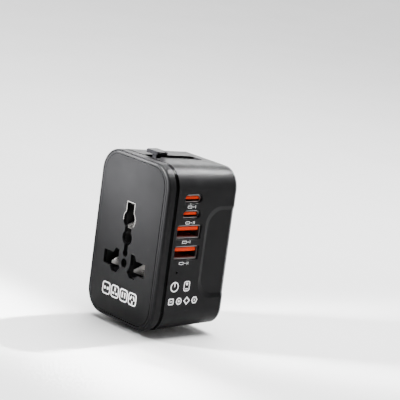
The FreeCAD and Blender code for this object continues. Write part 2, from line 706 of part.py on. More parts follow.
def knob():
    """Thumb knob of the top slider: foot in the carriage, stem and overhanging cap."""
    stem = box((-STEM_W, STEM_W), STEM_Y, (INNER_H - FOOT_T, CAP_BOTTOM + 0.2))
    cap = box((-CAP_W, CAP_W), CAP_Y, (CAP_BOTTOM, CAP_TOP))
    cap = cap.makeFillet(CAP_CORNER_R, edges_along(cap, V(0, 0, 1)))
    cap = cap.makeChamfer(CAP_EDGE, [e for e in cap.Edges if e.BoundBox.ZMin > CAP_TOP - 1e-6])
    foot_y = (STEM_Y[0] - FOOT_GROW, STEM_Y[1] + FOOT_GROW)
    foot = box((-FOOT_W, FOOT_W), foot_y, (INNER_H - FOOT_T, INNER_H - SLIDE_GAP))
    return join([stem, cap, foot])


def top_knob_seat():
    """Room for the foot of the top slider's knob in its carriage."""
    return box((-FOOT_W, FOOT_W), (0, STEM_Y[1] + FOOT_GROW), (INNER_H - FOOT_T - 0.1, FRONT_HALF_H))


def us_knob():
    return knob()


def uk_knob():
    return knob().mirror(V(0, 0, 0), V(0, 0, 1))


def uk_carriage():
    """Carrier of the three-pin plug's live pair: a bridge with two arms."""
    bridge = box((-UK_ARM_X[1], UK_ARM_X[1]), (CARRIAGE_FRONT, UK_BRIDGE_REAR), UK_ARM_Z)
    arm = box(UK_ARM_X, (CARRIAGE_FRONT, CARRIAGE_REAR), UK_ARM_Z)
    whole = join([bridge] + both_sides(arm))
    x_mid, z_mid = UK_PIN_AT
    seat = box(
        (x_mid - UK_PIN_HALF[0], x_mid + UK_PIN_HALF[0]),
        (PIN_SEAT_FRONT, CARRIAGE_REAR + 1),
        (z_mid - UK_PIN_HALF[1], z_mid + UK_PIN_HALF[1]),
    )
    knob_seat = top_knob_seat().mirror(V(0, 0, 0), V(0, 0, 1))
    return whole.cut(both_sides(seat) + [knob_seat])


def uk_pins():
    """Two flat pins with tapered tips, seated in the carriage."""
    x_mid, z_mid = UK_PIN_AT
    half_x, half_z = UK_PIN_HALF
    pins = []
    for side in (-1, 1):
        x = side * x_mid
        pin = box((x - half_x, x + half_x), (PIN_SEAT_FRONT, PIN_TIP_Y), (z_mid - half_z, z_mid + half_z))
        tip_edges = [e for e in pin.Edges if e.BoundBox.YMin > PIN_TIP_Y - 1e-6]
        pins.append(pin.makeChamfer(UK_TIP_BEVEL, tip_edges))
    return pins


def us_carriage():
    """Carrier of the two-blade plug, with a bearing for each blade's swivel."""
    block = box((-US_CARRIAGE_W, US_CARRIAGE_W), (CARRIAGE_FRONT, CARRIAGE_REAR), US_CARRIAGE_Z)
    block = block.makeFillet(1.0, edges_along(block, V(0, 1, 0)))
    x_mid, z_mid = US_BLADE_AT
    bearing = rod_y(x_mid, z_mid, US_BARREL_R + RUN_GAP, (US_BARREL_FRONT - 0.1, CARRIAGE_REAR + 1))
    return block.cut(both_sides(bearing) + [top_knob_seat()])


def us_swivel(side):
    """Plastic barrel that turns in the carriage and grips its blade."""
    x_mid, z_mid = US_BLADE_AT
    barrel = rod_y(side * x_mid, z_mid, US_BARREL_R, (US_BARREL_FRONT, CARRIAGE_REAR - 0.2))
    return barrel.cut(us_blade_blank(side))


def us_blade_blank(side):
    x_mid = side * US_BLADE_AT[0]
    z_mid = US_BLADE_AT[1]
    half_x, half_z = US_BLADE_HALF
    y = (US_BARREL_FRONT + 2, PIN_TIP_Y)
    return box((x_mid - half_x, x_mid + half_x), y, (z_mid - half_z, z_mid + half_z))


def us_blade(side):
    """Flat blade with a bevelled tip."""
    blade = us_blade_blank(side)
    tip_edges = [e for e in blade.Edges if e.BoundBox.YMin > PIN_TIP_Y - 1e-6]
    return blade.makeChamfer(0.45, tip_edges)


# Socket contacts


def contact_carrier():
    """Insulating block behind the face plate, with a pocket for each contact."""
    front = box((-CARRIER_W, CARRIER_W), (PLATE_T, BEZEL_REAR), (-CARRIER_H, CARRIER_H))
    flange = box((-FLANGE_W, FLANGE_W), (BEZEL_REAR, BEZEL_REAR + FLANGE_T), (-FLANGE_H, FLANGE_H))
    tower_y = (BEZEL_REAR, TOWER_REAR)
    towers = [box((-half_w, half_w), tower_y, z) for half_w, z in (EARTH_TOWER, LIVE_TOWER)]
    block = join([front, flange] + towers)
    pocket_y = (PLATE_T - 1, POCKET_REAR)
    live_pocket = box(LIVE_POCKET[0], pocket_y, LIVE_POCKET[1])
    earth_pocket = box((-EARTH_POCKET[0], EARTH_POCKET[0]), pocket_y, EARTH_POCKET[1])
    lobe_pocket = box((-LOBE_POCKET[0], LOBE_POCKET[0]), pocket_y, LOBE_POCKET[1])
    centre_pocket = rod_y(0, LN_Z, OVAL_H, (PLATE_T - 1, PLATE_T + 7))
    return block.cut(both_sides(live_pocket) + [join([earth_pocket, lobe_pocket]), centre_pocket])


def contact_leaves(x_mid, pinch, spread, z, lip_z, tip_z):
    """Pair of spring leaves that close at the pinch and flare to a point towards the front."""
    lip_outline = prism_x(
        [(LEAF_LIP_Y - 1, tip_z), (LEAF_PINCH_Y + 1, lip_z[1]), (LEAF_PINCH_Y + 1, lip_z[0])],
        (-FRONT_HALF_W, FRONT_HALF_W),
    )
    pieces = []
    base_y = POCKET_REAR - 0.4
    for side in (-1, 1):
        closed = (x_mid + side * pinch, LEAF_PINCH_Y)
        back = [
            (x_mid, base_y),
            (x_mid + side * spread, base_y),
            (x_mid + side * spread, base_y - LEAF_ROOT),
            closed,
        ]
        pieces.append(bent_strip(back, LEAF_T, z))
        lip = [closed, (x_mid + side * (pinch + LEAF_LIP_FLARE), LEAF_LIP_Y)]
        pieces.append(bent_strip(lip, LEAF_T, lip_z).common(lip_outline))
    return join(pieces)


def live_contact():
    """Contact of the right-hand live hole."""
    return contact_leaves(LIVE_CONTACT_X, 0.8, 3.6, (-15.6, -6.4), (-16.2, -7.6), -13.6)


def earth_contact():
    """Contact of the earth hole, wide enough for flat and round earth pins."""
    return contact_leaves(0.0, 0.8, 3.2, (2.0, 13.0), (1.4, 10.8), 4.8)


def busbar():
    """Strip from the right-hand live contact's tab to the fuse and boards."""
    y = (TOWER_REAR, TOWER_REAR + BUSBAR_T)
    upright = box(BUSBAR_X, y, (BUSBAR_FOOT_Z, -4.4))
    rung = box((BUSBAR_X[0], 13.0), y, (-6.0, -4.4))
    foot = box(BUSBAR_X, (TOWER_REAR - 5.0, y[1]), (BUSBAR_FOOT_Z, BUSBAR_FOOT_Z + 0.4))
    tab = box(BUSBAR_X, (POCKET_REAR, TOWER_REAR + 0.1), (-11.3, -9.7))
    return join([upright, rung, foot, tab])


def fuse_link():
    """Ceramic barrel of the cartridge fuse."""
    return rod_x(FUSE_AT[0], FUSE_AT[1], FUSE_BARREL_R, (-FUSE_CAP_X[0], FUSE_CAP_X[0]))


def fuse_caps():
    return both_sides(rod_x(FUSE_AT[0], FUSE_AT[1], FUSE_CAP_R, FUSE_CAP_X))


def fuse_clips():
    """Spring clips that hold the fuse's caps."""
    y, z = FUSE_AT
    clip = rod_x(y, z, FUSE_CLIP_R, FUSE_CLIP_X).cut(rod_x(y, z, FUSE_CAP_R, FUSE_CAP_X))
    clip = clip.cut(box(FUSE_CAP_X, (y - 1.6, y + 1.6), (z, z + 3.6)))
    stem = box(FUSE_CLIP_X, (y - 0.4, y + 0.4), (z - 3.4, z - 2.6))
    return both_sides(join([clip, stem]))


# Charger


def port_ring(half_y, half_z, radius, y_mid, z_mid):
    """Metal shell of one charging port, open to the right."""
    tubes = []
    for shrink, over in ((0, 0), (SHELL_SHEET, 1)):
        x = (BOARD_X[1] - over, PORT_FACE_X + over)
        y = (y_mid - half_y + shrink, y_mid + half_y - shrink)
        z = (z_mid - half_z + shrink, z_mid + half_z - shrink)
        tube = box(x, y, z)
        tubes.append(tube.makeFillet(radius - shrink, edges_along(tube, V(1, 0, 0))))
    return tubes[0].cut(tubes[1])


def usb_c_shells():
    return [port_ring(USB_C_SHELL[0], USB_C_SHELL[1], 1.6, y, z) for y, z in USB_C_AT]


def usb_a_shells():
    return [port_ring(USB_A_SHELL[0], USB_A_SHELL[1], USB_A_CORNER_R, y, z) for y, z in USB_A_AT]


def usb_c_tongues():
    """Insulator of each small port: a base at the board and a centred tongue."""
    pieces = []
    for y, z in USB_C_AT:
        base = box((BOARD_X[1], 13.0), (y - 3.9, y + 3.9), (z - 1.2, z + 1.2))
        base = base.makeFillet(1.1, edges_along(base, V(1, 0, 0)))
        tongue = box((12.9, PORT_FACE_X - 0.4), (y - 3.6, y + 3.6), (z - 0.35, z + 0.75))
        tongue = tongue.makeFillet(0.4, edges_along(tongue, V(1, 0, 0)))
        pieces.append(join([base, tongue]))
    return pieces


def usb_a_tongues():
    """Insulator of each large port: a base at the board and a tongue in the upper half."""
    pieces = []
    for y, z in USB_A_AT:
        base = box((BOARD_X[1], USB_A_BASE_X), (y - 6.2, y + 6.2), (z - 2.5, z + 2.5))
        base = base.makeFillet(0.3, edges_along(base, V(1, 0, 0)))
        tongue_z = (z + USB_A_TONGUE_Z[0], z + USB_A_TONGUE_Z[1])
        tongue = box((USB_A_BASE_X - 0.1, PORT_FACE_X - 0.3), (y - 5.6, y + 5.6), tongue_z)
        tongue = tongue.makeFillet(0.3, edges_along(tongue, V(1, 0, 0)))
        pieces.append(join([base, tongue]))
    return pieces


def usb_a_liners():
    """Dark lining on the floor, the near side and the back of each large port's shell."""
    liners = []
    half_y = USB_A_SHELL[0] - SHELL_SHEET - 0.1
    half_z = USB_A_SHELL[1] - SHELL_SHEET - 0.1
    x = (USB_A_BASE_X, PORT_FACE_X - LINER_INSET)
    for y, z in USB_A_AT:
        floor = box(x, (y - half_y, y + half_y - LINER_GAP), (z - half_z, z - half_z + LINER_T))
        near = box(x, (y - half_y, y - half_y + LINER_T), (z - half_z, z + half_z))
        back = box((x[0], x[0] + LINER_T), (y - half_y, y + half_y), (z - half_z, z + USB_A_TONGUE_Z[0]))
        liners.append(join([floor, near, back]))
    return liners


def usb_board():
    return box(BOARD_X, BOARD_Y, BOARD_Z)


def usb_controller():
    """Charger chips on the board's outer side, behind the ports."""
    chips = []
    for z in (2.0, 9.0, 17.5):
        chips.append(box((BOARD_X[1], BOARD_X[1] + 1.0), (21.7, 23.2), (z - 1.8, z + 1.8)))
    return chips


def power_board():
    return box((-BOARD_X[1], -BOARD_X[0]), BOARD_Y, BOARD_Z)


def transformer_core():
    """Ferrite core in two halves around the winding."""
    halves = []
    for z in ((11.2, 13.0), (20.4, 22.2)):
        halves.append(box((-18.4, -7.6), (8.0, 18.0), z))
    legs = [box((-18.4, -7.6), y, (12.9, 20.5)) for y in ((8.0, 9.4), (16.6, 18.0))]
    centre = rod_z(-13.0, 13.0, 1.9, (12.9, 20.5))
    return join(halves + legs + [centre])


def transformer_winding():
    """Taped winding on the core's middle leg."""
    winding = rod_z(-13.0, 13.0, 3.5, (13.1, 20.3))
    return winding.cut(rod_z(-13.0, 13.0, 1.95, (12.0, 21.0)))


def input_capacitors():
    """Two mains-side electrolytic capacitors lying across the board."""
    cans = []
    for z in (6.6, -0.6):
        can = rod_x(12.0, z, 3.3, (-19.6, -7.2))
        cans.append(can.makeFillet(0.4, [e for e in can.Edges if e.BoundBox.XMax < -19.5]))
    return cans


def output_capacitor():
    can = rod_x(20.4, 3.0, 3.0, (-17.6, -7.2))
    return can.makeFillet(0.4, [e for e in can.Edges if e.BoundBox.XMax < -17.5])


def rectifier():
    """Bridge rectifier with its four legs into the board."""
    body = box((-11.0, -8.4), (19.6, 22.8), (12.0, 18.6))
    legs = []
    for z in (12.8, 14.4, 16.0, 17.6):
        legs.append(box((-8.5, -BOARD_X[1]), (21.0, 21.6), (z - 0.25, z + 0.25)))
    return join([body] + legs)


def status_led():
    y, z = LED_AT
    base = box((LED_FRONT_X - 1.4, LED_FRONT_X - 0.6), (y - 1.2, y + 1.2), (z - 0.9, z + 0.9))
    return join([base, rod_x(y, z, 0.7, (LED_FRONT_X - 0.7, LED_FRONT_X))])


def led_light_pipe():
    """Clear rod from the indicator to the foot of the pinhole in the right side."""
    return rod_x(LED_AT[0], LED_AT[1], LED_R - 0.03, (LED_FRONT_X, INNER_W + 0.6))


def main():
    os.makedirs("parts", exist_ok=True)
    eu_body, eu_base = eu_plug_parts()
    eu_metal, eu_sleeves = eu_pins()
    bars = both_sides(busbar())
    save("face_plate", [face_plate()])
    save("front_bezel", [front_bezel()])
    save("accent_ring", [accent_ring()])
    save("main_shell", [main_shell()])
    save("rear_cover", [rear_cover()])
    save("plug_well", [plug_well()])
    save("front_screws", front_screws())
    save("eu_plug_body", [eu_body])
    save("eu_plug_base", [eu_base])
    save("eu_pins", eu_metal)
    save("eu_pin_sleeves", eu_sleeves)
    save("eu_hinge_pin", [eu_hinge_pin()])
    save("uk_earth_pin", [uk_earth_pin()])
    save("earth_hinge_pin", [earth_hinge_pin()])
    save("uk_carriage", [uk_carriage()])
    save("uk_knob", [uk_knob()])
    save("uk_pins", uk_pins())
    save("us_carriage", [us_carriage()])
    save("us_knob", [us_knob()])
    for side, word in ((-1, "left"), (1, "right")):
        save("us_swivel_" + word, [us_swivel(side)])
        save("us_blade_" + word, [us_blade(side)])
    save("contact_carrier", [contact_carrier().cut(bars)])
    save("line_contact", [live_contact()])
    save("neutral_contact", [mirror_x(live_contact())])
    save("earth_contact", [earth_contact()])
    save("line_busbar", bars[:1])
    save("neutral_busbar", bars[1:])
    save("fuse_link", [fuse_link()])
    save("fuse_caps", fuse_caps())
    save("fuse_clips", fuse_clips())
    save("usb_board", [usb_board()])
    save("usb_controller", usb_controller())
    save("usb_c_shells", usb_c_shells())
    save("usb_c_tongues", usb_c_tongues())
    save("usb_a_shells", usb_a_shells())
    save("usb_a_tongues", usb_a_tongues())
    save("usb_a_liners", usb_a_liners())
    save("power_board", [power_board()])
    save("transformer_core", [transformer_core()])
    save("transformer_winding", [transformer_winding()])
    save("input_capacitors", input_capacitors())
    save("output_capacitor", [output_capacitor()])
    save("rectifier", [rectifier()])
    save("status_led", [status_led()])
    save("led_light_pipe", [led_light_pipe()])


main()
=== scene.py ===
import json
import math

import bmesh
import bpy
from mathutils import Matrix, Vector


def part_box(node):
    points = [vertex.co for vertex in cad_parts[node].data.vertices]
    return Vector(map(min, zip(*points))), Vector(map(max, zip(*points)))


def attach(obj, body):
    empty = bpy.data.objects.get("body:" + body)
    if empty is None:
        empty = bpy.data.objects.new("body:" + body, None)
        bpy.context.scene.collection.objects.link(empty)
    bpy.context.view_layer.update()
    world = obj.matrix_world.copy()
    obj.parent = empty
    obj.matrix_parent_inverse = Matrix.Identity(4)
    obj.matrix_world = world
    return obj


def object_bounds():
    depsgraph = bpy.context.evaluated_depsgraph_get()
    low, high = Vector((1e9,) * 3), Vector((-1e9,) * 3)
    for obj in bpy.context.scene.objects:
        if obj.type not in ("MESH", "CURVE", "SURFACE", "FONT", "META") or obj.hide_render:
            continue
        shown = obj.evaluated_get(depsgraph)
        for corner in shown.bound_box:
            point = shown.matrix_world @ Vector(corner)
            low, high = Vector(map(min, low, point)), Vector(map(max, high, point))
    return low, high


# Looks of the universal travel adapter. The row's frame: +X towards the charging ports, +Y out of the
# rear face, +Z up, in metres. Marks are drawn in millimetres: distances behind the front face, and
# heights over the middle of the casing.

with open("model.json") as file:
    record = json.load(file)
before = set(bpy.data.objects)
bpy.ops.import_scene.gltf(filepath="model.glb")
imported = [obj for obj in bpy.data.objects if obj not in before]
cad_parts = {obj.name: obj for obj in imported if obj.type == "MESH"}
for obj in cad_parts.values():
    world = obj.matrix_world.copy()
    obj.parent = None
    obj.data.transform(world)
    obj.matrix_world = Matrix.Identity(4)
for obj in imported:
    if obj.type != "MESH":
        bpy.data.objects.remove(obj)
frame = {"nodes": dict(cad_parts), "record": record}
cad_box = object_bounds()

MM = 0.001
X = Vector((1, 0, 0))
Y = Vector((0, 1, 0))
Z = Vector((0, 0, 1))


# Places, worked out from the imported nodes

SHELL_LOW, SHELL_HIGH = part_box("main_shell")
COVER_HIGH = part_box("rear_cover")[1]
MID_Z = (SHELL_LOW.z + SHELL_HIGH.z) / 2
FRONT_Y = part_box("face_plate")[0].y
REAR_Y = COVER_HIGH.y
WALL_FRONT_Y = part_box("accent_ring")[1].y
SIDE_LEAN = math.atan2(SHELL_HIGH.x - COVER_HIGH.x, SHELL_HIGH.y - WALL_FRONT_Y)
FRONT_MIDDLE = Vector((0, FRONT_Y, MID_Z))
REAR_MIDDLE = Vector((0, REAR_Y, MID_Z))


# Driving dimensions, in millimetres unless the name says otherwise

PRINT_RISE = 0.02
PRINT_SINK = 0.03

# Middles of the charging ports, and of the mark under each one
SMALL_PORTS = ((15.0, 23.5), (15.0, 16.5))
LARGE_PORTS = ((14.8, 8.7), (14.8, -0.6))
SMALL_MARKS = ((15.2, 20.0), (15.0, 13.0))
LARGE_MARKS = ((14.6, 4.4), (14.4, -5.1))

# Gold strips in the ports: number, spacing, width, height over the port's middle, and reach
LARGE_STRIPS = (4, 2.6, 1.0, 0.55, (8.0, 0.7))
SMALL_STRIPS = (10, 0.6, 0.26, -0.35, (4.0, 0.5))
STRIP_BELOW = 0.06
STRIP_ABOVE = 0.02

# Earth hole in the face plate, and a painted highlight: a bright strip around its upper part
EARTH_HOLE_Z = 8.9
EARTH_HOLE_R = 4.15
EARTH_SLOT_HALF_W = 2.65
EARTH_SLOT_TOP = 16.5
HIGHLIGHT_W = 0.22

# Plug pictograms on the face plate
ICON_ROW_AT = (-0.6, -24.8)
ICON_SIZE = 5.7
ICON_PITCH = ICON_SIZE * 1.13

# Symbols on the right side: a round one, a tall one, and a row of four small ones
ROUND_SYMBOL_AT = (10.4, -15.6)
TALL_SYMBOL_AT = (17.4, -15.6)
SYMBOL_ROW_Y = 9.4
SYMBOL_ROW_Z = -22.2
SYMBOL_PITCH = 4.5

# Small print on the left side: strokes, then the block along the length, then the lines across it
STROKE_MIN = 0.28
STROKE_SPREAD = 0.3
STROKE_GAP = 0.3
WORD_GAP = 0.9
WORD_STROKES = 6
BLOCK_LINES = 7
BLOCK_Y = 8.2
BLOCK_PITCH = 2.0
BLOCK_Z = -21.0
BLOCK_STAGGER = 1.3
BLOCK_LENGTH = 40.0
BLOCK_SHORTENING = 2.6
BLOCK_PRINT_H = 0.42
CROSS_LINES = 3
CROSS_Y = 8.5
CROSS_Z = -23.6
CROSS_PITCH = 1.4
CROSS_LENGTH = 25.0
CROSS_SHORTENING = 3.5
CROSS_PRINT_H = 0.38

# Pictograms on the rear: slanted and upright blades, and flat pins
SLANTED_BLADES_Z = 31.2
UPRIGHT_BLADES_Z = 27.8
FLAT_PINS_AT = (-17.0, -28.6)
PLUG_PICTOGRAM_Z = 10.6

# Camera, in metres and in directions
CAMERA_AT = (0.6484, -0.5307, MID_Z + 0.1854)
CAMERA_FORWARD = (-0.7483, 0.6342, -0.1946)
CAMERA_UP_HINT = (-0.2331, 0.0232, 0.9722)
CAMERA_LENS = 173.8

# Floor, in metres: it runs flat to the bend, then curves up into a wall
FLOOR_HALF_W = 1.6
FLOOR_FRONT_Y = -1.2
FLOOR_BEND_Y = 0.9
FLOOR_BEND_R = 0.5
FLOOR_WALL_TOP = 2.0
BEND_STEPS = 12


# Shader helpers


def new_material(name):
    """Material with a bare Principled shader, and its node tree."""
    material = bpy.data.materials.new(name)
    material.use_nodes = True
    shader = material.node_tree.nodes["Principled BSDF"]
    return material, material.node_tree, shader


def set_shader(shader, **values):
    """Constant values, on the shader's own sockets."""
    names = {
        "color": "Base Color",
        "metallic": "Metallic",
        "roughness": "Roughness",
        "ior": "IOR",
        "coat": "Coat Weight",
        "coat_roughness": "Coat Roughness",
        "specular": "Specular IOR Level",
        "transmission": "Transmission Weight",
    }
    for key, value in values.items():
        shader.inputs[names[key]].default_value = value


def noise(tree, scale, detail=2.0, stretch=(1, 1, 1)):
    """Noise over the row's frame: scale is in repeats per metre."""
    place = tree.nodes.new("ShaderNodeTexCoord")
    mapping = tree.nodes.new("ShaderNodeMapping")
    mapping.inputs["Scale"].default_value = stretch
    texture = tree.nodes.new("ShaderNodeTexNoise")
    texture.inputs["Scale"].default_value = scale
    texture.inputs["Detail"].default_value = detail
    tree.links.new(place.outputs["Object"], mapping.inputs["Vector"])
    tree.links.new(mapping.outputs["Vector"], texture.inputs["Vector"])
    return texture.outputs["Fac"]


def ramp(tree, source, low, high, start=0.3, stop=0.7):
    """Source spread over a range of values."""
    node = tree.nodes.new("ShaderNodeMapRange")
    node.inputs["From Min"].default_value = start
    node.inputs["From Max"].default_value = stop
    node.inputs["To Min"].default_value = low
    node.inputs["To Max"].default_value = high
    tree.links.new(source, node.inputs["Value"])
    return node.outputs["Result"]


def blend_colors(tree, source, first, second, start=0.3, stop=0.7):
    """Colour between first and second, by the source."""
    node = tree.nodes.new("ShaderNodeValToRGB")
    node.color_ramp.elements[0].position = start
    node.color_ramp.elements[1].position = stop
    node.color_ramp.elements[0].color = (*first, 1.0)
    node.color_ramp.elements[1].color = (*second, 1.0)
    tree.links.new(source, node.inputs["Fac"])
    return node.outputs["Color"]


def bump(tree, shader, source, distance, strength=1.0, under=None):
    """Bump on the shader's normal; under is an earlier bump that this one adds to."""
    node = tree.nodes.new("ShaderNodeBump")
    node.inputs["Strength"].default_value = strength
    node.inputs["Distance"].default_value = distance
    tree.links.new(source, node.inputs["Height"])
    if under:
        tree.links.new(under, node.inputs["Normal"])
    tree.links.new(node.outputs["Normal"], shader.inputs["Normal"])
    return node.outputs["Normal"]


def shade(color, factor):
    """Colour made darker or lighter by a factor."""
    return tuple(channel * factor for channel in color)


# Materials


def moulded_plastic(name, color, roughness, grain, depth, specular=0.5, mottle=0.12):
    """Moulded plastic: fine spark-eroded grain, faint mottling and uneven gloss."""
    material, tree, shader = new_material(name)
    set_shader(shader, specular=specular, ior=1.5)
    cloud = noise(tree, 90, detail=3)
    tone = blend_colors(tree, cloud, shade(color, 1 - mottle), shade(color, 1 + mottle))
    tree.links.new(tone, shader.inputs["Base Color"])
    smear = noise(tree, 260, detail=4)
    tree.links.new(ramp(tree, smear, roughness - 0.05, roughness + 0.05), shader.inputs["Roughness"])
    bump(tree, shader, noise(tree, grain, detail=2), depth * MM)
    return material


def gloss_plastic(name, color, roughness):
    """Polished plastic with a slight orange-peel surface."""
    material, tree, shader = new_material(name)
    set_shader(shader, ior=1.5, coat=0.6, coat_roughness=0.05)
    cloud = noise(tree, 140, detail=3)
    tone = blend_colors(tree, cloud, shade(color, 0.85), shade(color, 1.1))
    tree.links.new(tone, shader.inputs["Base Color"])
    tree.links.new(ramp(tree, noise(tree, 500), roughness, roughness + 0.08), shader.inputs["Roughness"])
    bump(tree, shader, noise(tree, 900), 0.004 * MM)
    return material


def metal(name, color, roughness, stretch, depth=0.003):
    """Plated or brushed metal: drawn lines along one direction, and faint tarnish."""
    material, tree, shader = new_material(name)
    set_shader(shader, metallic=1.0)
    cloud = noise(tree, 350, detail=4)
    tree.links.new(blend_colors(tree, cloud, shade(color, 0.82), color), shader.inputs["Base Color"])
    lines = noise(tree, 2500, detail=3, stretch=stretch)
    tree.links.new(ramp(tree, lines, roughness, roughness + 0.12), shader.inputs["Roughness"])
    bump(tree, shader, lines, depth * MM)
    return material


def circuit_board(name):
    """Solder mask over tracks: raised lines of paler green."""
    material, tree, shader = new_material(name)
    set_shader(shader, coat=0.4, coat_roughness=0.15)
    place = tree.nodes.new("ShaderNodeTexCoord")
    bricks = tree.nodes.new("ShaderNodeTexBrick")
    bricks.inputs["Scale"].default_value = 600
    bricks.inputs["Color1"].default_value = (0.01, 0.11, 0.04, 1)
    bricks.inputs["Color2"].default_value = (0.015, 0.14, 0.05, 1)
    bricks.inputs["Mortar"].default_value = (0.03, 0.25, 0.09, 1)
    tree.links.new(place.outputs["Object"], bricks.inputs["Vector"])
    tree.links.new(bricks.outputs["Color"], shader.inputs["Base Color"])
    tree.links.new(ramp(tree, noise(tree, 400), 0.3, 0.42), shader.inputs["Roughness"])
    bump(tree, shader, bricks.outputs["Fac"], 0.03 * MM)
    return material


def print_ink(name, color):
    """Pad-printed ink: slightly uneven cover over the plastic's grain."""
    material, tree, shader = new_material(name)
    set_shader(shader, ior=1.48)
    patch = noise(tree, 1800, detail=3)
    tree.links.new(blend_colors(tree, patch, shade(color, 0.88), color), shader.inputs["Base Color"])
    tree.links.new(ramp(tree, patch, 0.42, 0.56), shader.inputs["Roughness"])
    bump(tree, shader, noise(tree, 5200), 0.006 * MM)
    return material


def clear_acrylic(name):
    """Clear acrylic with a faint cloudiness."""
    material, tree, shader = new_material(name)
    set_shader(shader, ior=1.49, transmission=1.0)
    cloud = noise(tree, 700, detail=3)
    tone = blend_colors(tree, cloud, (0.8, 0.92, 0.96), (0.95, 0.99, 1.0))
    tree.links.new(tone, shader.inputs["Base Color"])
    tree.links.new(ramp(tree, cloud, 0.04, 0.12), shader.inputs["Roughness"])
    return material


def wound_tape(name, color):
    """Insulating tape wound in overlapping turns."""
    material, tree, shader = new_material(name)
    place = tree.nodes.new("ShaderNodeTexCoord")
    waves = tree.nodes.new("ShaderNodeTexWave")
    waves.bands_direction = "Z"
    waves.inputs["Scale"].default_value = 300
    waves.inputs["Distortion"].default_value = 0.6
    tree.links.new(place.outputs["Object"], waves.inputs["Vector"])
    tone = blend_colors(tree, waves.outputs["Fac"], shade(color, 0.7), color, 0.1, 0.6)
    tree.links.new(tone, shader.inputs["Base Color"])
    tree.links.new(ramp(tree, noise(tree, 300), 0.25, 0.4), shader.inputs["Roughness"])
    bump(tree, shader, waves.outputs["Fac"], 0.05 * MM)
    return material


# Colour, roughness, grain per metre and grain depth of each moulded plastic, then its specular level
# and its mottling where they differ from the usual
PLASTICS = {
    "face_plastic": ((0.0038, 0.0038, 0.0040), 0.42, 7000, 0.010, 0.032),
    "casing_plastic": ((0.0042, 0.0042, 0.0045), 0.44, 7000, 0.006, 0.05),
    "accent_gloss": ((0.0004, 0.0004, 0.0004), 0.18, 900, 0.001, 0.008),
    "rear_plastic": ((0.055, 0.056, 0.058), 0.48, 5200, 0.020),
    "inner_plastic": ((0.006, 0.006, 0.006), 0.48, 4000, 0.020, 0.25),
    "plug_plastic": ((0.050, 0.051, 0.053), 0.46, 5200, 0.018),
    "sleeve_plastic": ((0.016, 0.016, 0.017), 0.40, 4500, 0.012),
    "port_lining": ((0.10, 0.010, 0.005), 0.35, 4000, 0.010, 0.3),
    "knob_plastic": ((0.005, 0.005, 0.0055), 0.30, 1500, 0.001, 0.012),
    "orange_plastic": ((0.52, 0.024, 0.0006), 0.40, 5000, 0.003, 0.04, 0.05),
    "chip_black": ((0.02, 0.02, 0.021), 0.55, 6000, 0.015),
    "ferrite": ((0.04, 0.04, 0.043), 0.62, 3000, 0.030),
    "fuse_ceramic": ((0.82, 0.80, 0.75), 0.35, 2600, 0.010, 0.5, 0.04),
}

# Colour, roughness and stretch of the drawn lines of each metal, then their depth where it differs
ALONG_Y = (1.0, 0.04, 1.0)
ALONG_Z = (1.0, 1.0, 0.04)
NO_LINES = (0.3, 0.3, 0.3)
METALS = {
    "nickel_pin": ((0.86, 0.85, 0.82), 0.16, ALONG_Y),
    "steel": ((0.62, 0.62, 0.63), 0.26, ALONG_Y),
    # port_steel is a darker copy of steel with a faint red cast: painted shade for the shells inside the
    # port mouths, and a painted reflection of the orange tongues
    "port_steel": ((0.20, 0.18, 0.18), 0.32, ALONG_Z),
    "contact_brass": ((0.34, 0.33, 0.32), 0.24, NO_LINES, 0.0006),
    "gold_plate": ((0.95, 0.70, 0.32), 0.18, ALONG_Z),
}


def make_materials():
    """One material for each slot of the record, and one for each ink."""
    made = {name: moulded_plastic(name, *look) for name, look in PLASTICS.items()}
    for name, look in METALS.items():
        made[name] = metal(name, *look)
    made["circuit_board"] = circuit_board("circuit_board")
    made["winding_tape"] = wound_tape("winding_tape", (0.85, 0.58, 0.06))
    made["capacitor_sleeve"] = gloss_plastic("capacitor_sleeve", (0.02, 0.03, 0.10), 0.22)
    made["clear_light"] = clear_acrylic("clear_light")
    made["white_print"] = print_ink("white_print", (0.86, 0.86, 0.86))
    made["dark_print"] = print_ink("dark_print", (0.012, 0.012, 0.013))
    return made


def dress_nodes(materials):
    """Give every CAD node the material of its slot."""
    for entry in frame["record"]["subparts"]:
        node = frame["nodes"][entry["node"]]
        node.data.materials.clear()
        node.data.materials.append(materials[entry["material_slot"]])


# Printed and raised marks


def circle_points(x, y, radius, count=24):
    """Outline of a circle, or of a regular polygon when the count is small."""
    turns = [2 * math.pi * step / count for step in range(count)]
    return [(x + radius * math.cos(turn), y + radius * math.sin(turn)) for turn in turns]


def bar_points(x, y, width, height, degrees=0.0):
    """Corners of a bar about its middle."""
    turn = math.radians(degrees)
    corners = []
    for u, v in ((-1, -1), (1, -1), (1, 1), (-1, 1)):
        across = u * width / 2
        up = v * height / 2
        corner_x = x + across * math.cos(turn) - up * math.sin(turn)
        corner_y = y + across * math.sin(turn) + up * math.cos(turn)
        corners.append((corner_x, corner_y))
    return corners


def rounded_points(x, y, width, height, radius, count=6):
    """Outline of a rounded rectangle, anticlockwise."""
    points = []
    for quarter, (u, v) in enumerate(((1, 1), (-1, 1), (-1, -1), (1, -1))):
        mid_x = x + u * (width / 2 - radius)
        mid_y = y + v * (height / 2 - radius)
        for step in range(count + 1):
            turn = math.pi / 2 * (quarter + step / count)
            points.append((mid_x + radius * math.cos(turn), mid_y + radius * math.sin(turn)))
    return points


# Each shape is an outline and the outline of its hole, or None


def disc(x, y, radius):
    return circle_points(x, y, radius), None


def ring(x, y, radius, line, count=40):
    return circle_points(x, y, radius, count), circle_points(x, y, radius - line, count)


def bar(x, y, width, height, degrees=0.0):
    return bar_points(x, y, width, height, degrees), None


def frame_line(x, y, width, height, radius, line):
    """Line around a rounded rectangle."""
    outer = rounded_points(x, y, width, height, radius)
    inner = rounded_points(x, y, width - 2 * line, height - 2 * line, max(radius - line, 0.02))
    return outer, inner


